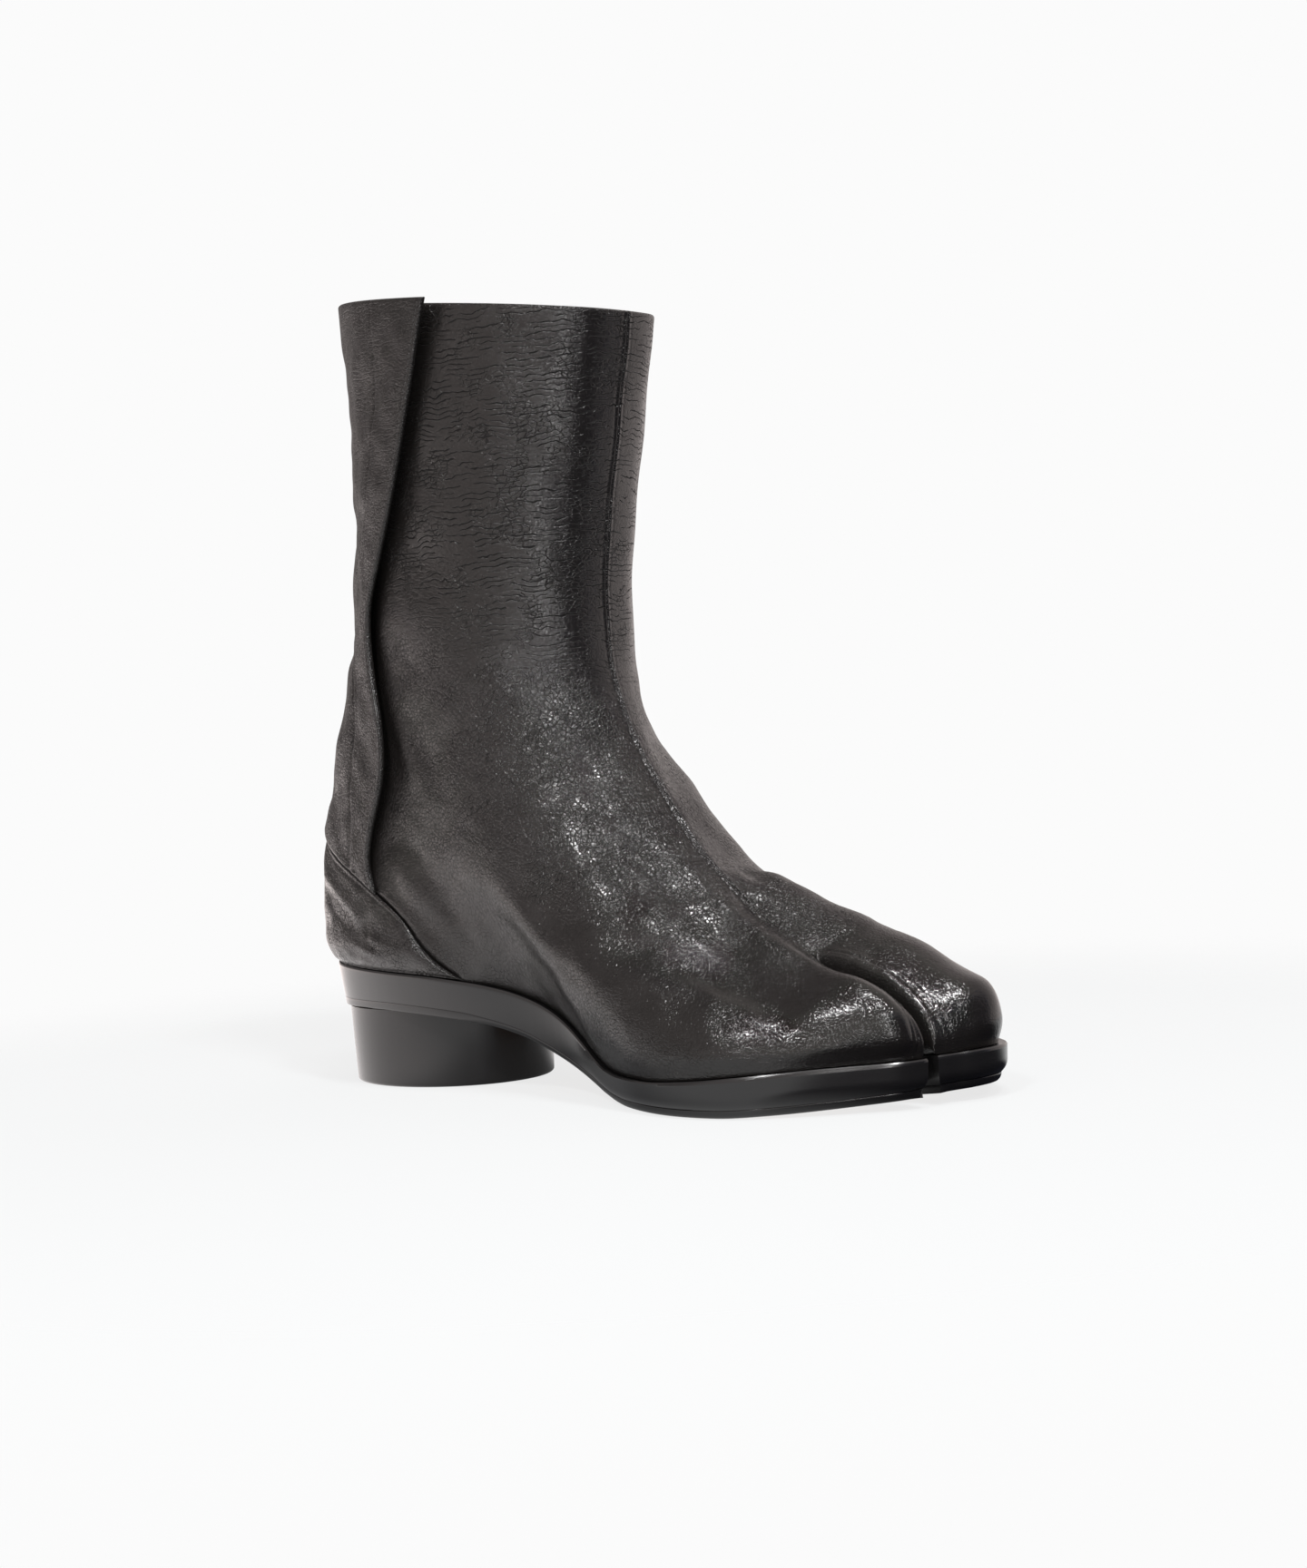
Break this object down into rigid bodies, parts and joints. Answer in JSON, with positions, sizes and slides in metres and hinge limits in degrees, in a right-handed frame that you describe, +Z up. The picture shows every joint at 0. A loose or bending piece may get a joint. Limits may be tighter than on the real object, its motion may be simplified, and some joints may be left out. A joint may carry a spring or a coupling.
{
  "type": "split-toe ankle boot",
  "caption": "Left ankle boot in glossy black leather with a split toe, a wrapped closure flap, a counter and a low round block heel.",
  "frame": {"origin": "middle of the heel block's bottom face, on the floor", "axes": "+X towards the toe, +Y towards the outer side of the foot, +Z up"},
  "size_m": [0.2564, 0.0991, 0.2602],
  "materials": {
    "upper_leather": "crackled gloss",
    "flap_leather": "crackled gloss",
    "counter_leather": "crackled gloss",
    "sole_edge": "polished black edge",
    "sole_leather": "smooth tan",
    "heel_block": "polished black",
    "insole_leather": "matt"
  },
  "bodies": {
    "root": {"upper": "upper_leather", "closure_flap": "flap_leather", "heel_counter": "counter_leather", "midsole": "sole_edge", "outsole": "sole_leather", "heel": "heel_block", "insole": "insole_leather"}
  },
  "joints": []
}
